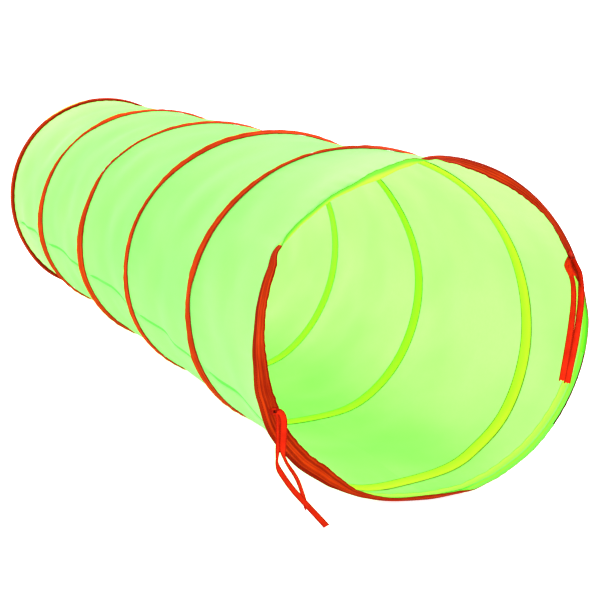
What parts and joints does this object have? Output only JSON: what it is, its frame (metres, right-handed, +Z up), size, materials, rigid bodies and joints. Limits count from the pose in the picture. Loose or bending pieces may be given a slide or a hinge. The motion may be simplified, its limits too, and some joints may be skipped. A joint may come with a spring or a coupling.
{
  "type": "agility tunnel",
  "caption": "Pop-up fabric dog agility tunnel on a coiled spring wire, with red casing tape, bound rims and ribbon ties; it collapses lengthwise to a flat disc.",
  "frame": {"origin": "on the floor under the middle of the tunnel, without its tie ribbons", "axes": "+X along the tunnel to its front mouth, +Y to the side whose rim leans forward, +Z up"},
  "size_m": [1.8187, 0.4782, 0.4709],
  "materials": {
    "spring_wire": "bright drawn spring steel",
    "wire_crimp": "plain plated steel",
    "casing_tape": "folded woven polyester tape, slight sheen",
    "rim_binding": "folded woven polyester tape, slight sheen",
    "sleeve_fabric": "thin crinkled translucent polyester taffeta",
    "tie_ribbon": "narrow satin-edged polyester ribbon",
    "tack_thread": "dark sewing thread"
  },
  "bodies": {
    "front_coil": {"coil_wire_turn_1": "spring_wire", "casing_tape_turn_1": "casing_tape", "sleeve_bay_1": "sleeve_fabric"},
    "front_ring": {"front_ring_wire": "spring_wire", "front_rim_binding": "rim_binding", "front_wire_crimp": "wire_crimp", "tie_left_tab": "tie_ribbon", "tie_left_bar_tack": "tack_thread", "tie_left_long_tail": "tie_ribbon", "tie_left_short_tail": "tie_ribbon", "tie_right_tab": "tie_ribbon", "tie_right_bar_tack": "tack_thread", "tie_right_wrap": "tie_ribbon", "tie_right_outer_tail": "tie_ribbon", "tie_right_inner_tail": "tie_ribbon"},
    "coil_2": {"coil_wire_turn_2": "spring_wire", "casing_tape_turn_2": "casing_tape", "sleeve_bay_2": "sleeve_fabric"},
    "coil_3": {"coil_wire_turn_3": "spring_wire", "casing_tape_turn_3": "casing_tape", "sleeve_bay_3": "sleeve_fabric"},
    "coil_4": {"coil_wire_turn_4": "spring_wire", "casing_tape_turn_4": "casing_tape", "sleeve_bay_4": "sleeve_fabric"},
    "coil_5": {"coil_wire_turn_5": "spring_wire", "casing_tape_turn_5": "casing_tape", "sleeve_bay_5": "sleeve_fabric"},
    "rear_ring": {"rear_ring_wire": "spring_wire", "rear_rim_binding": "rim_binding", "rear_wire_crimp": "wire_crimp"}
  },
  "joints": [
    {"name": "collapse", "type": "slide", "parent": "front_coil", "child": "rear_ring", "axis": [1, 0, 0], "range_m": [0, 1.7], "stiffness_N_per_m": 8, "deforming": ["coil_wire_turn_1", "casing_tape_turn_1", "sleeve_bay_1"]},
    {"name": "coil_2_slide", "type": "slide", "parent": "front_coil", "child": "coil_2", "axis": [1, 0, 0], "range_m": [0, 0.341], "deforming": ["coil_wire_turn_2", "casing_tape_turn_2", "sleeve_bay_2"]},
    {"name": "coil_3_slide", "type": "slide", "parent": "front_coil", "child": "coil_3", "axis": [1, 0, 0], "range_m": [0, 0.681], "deforming": ["coil_wire_turn_3", "casing_tape_turn_3", "sleeve_bay_3"]},
    {"name": "coil_4_slide", "type": "slide", "parent": "front_coil", "child": "coil_4", "axis": [1, 0, 0], "range_m": [0, 1.021], "deforming": ["coil_wire_turn_4", "casing_tape_turn_4", "sleeve_bay_4"]},
    {"name": "coil_5_slide", "type": "slide", "parent": "front_coil", "child": "coil_5", "axis": [1, 0, 0], "range_m": [0, 1.361], "deforming": ["coil_wire_turn_5", "casing_tape_turn_5", "sleeve_bay_5"]},
    {"name": "front_ring_lean", "type": "hinge", "parent": "front_coil", "child": "front_ring", "pos_m": [0.86221, 0, 0.23182], "axis": [0, 0, 1], "range_deg": [0, 6.2]}
  ],
  "couplings": [
    {"joint": "coil_2_slide", "follows": "collapse", "ratio": 0.2},
    {"joint": "coil_3_slide", "follows": "collapse", "ratio": 0.4},
    {"joint": "coil_4_slide", "follows": "collapse", "ratio": 0.6},
    {"joint": "coil_5_slide", "follows": "collapse", "ratio": 0.8},
    {"joint": "front_ring_lean", "follows": "collapse", "rad_per_m": 0.0627}
  ]
}
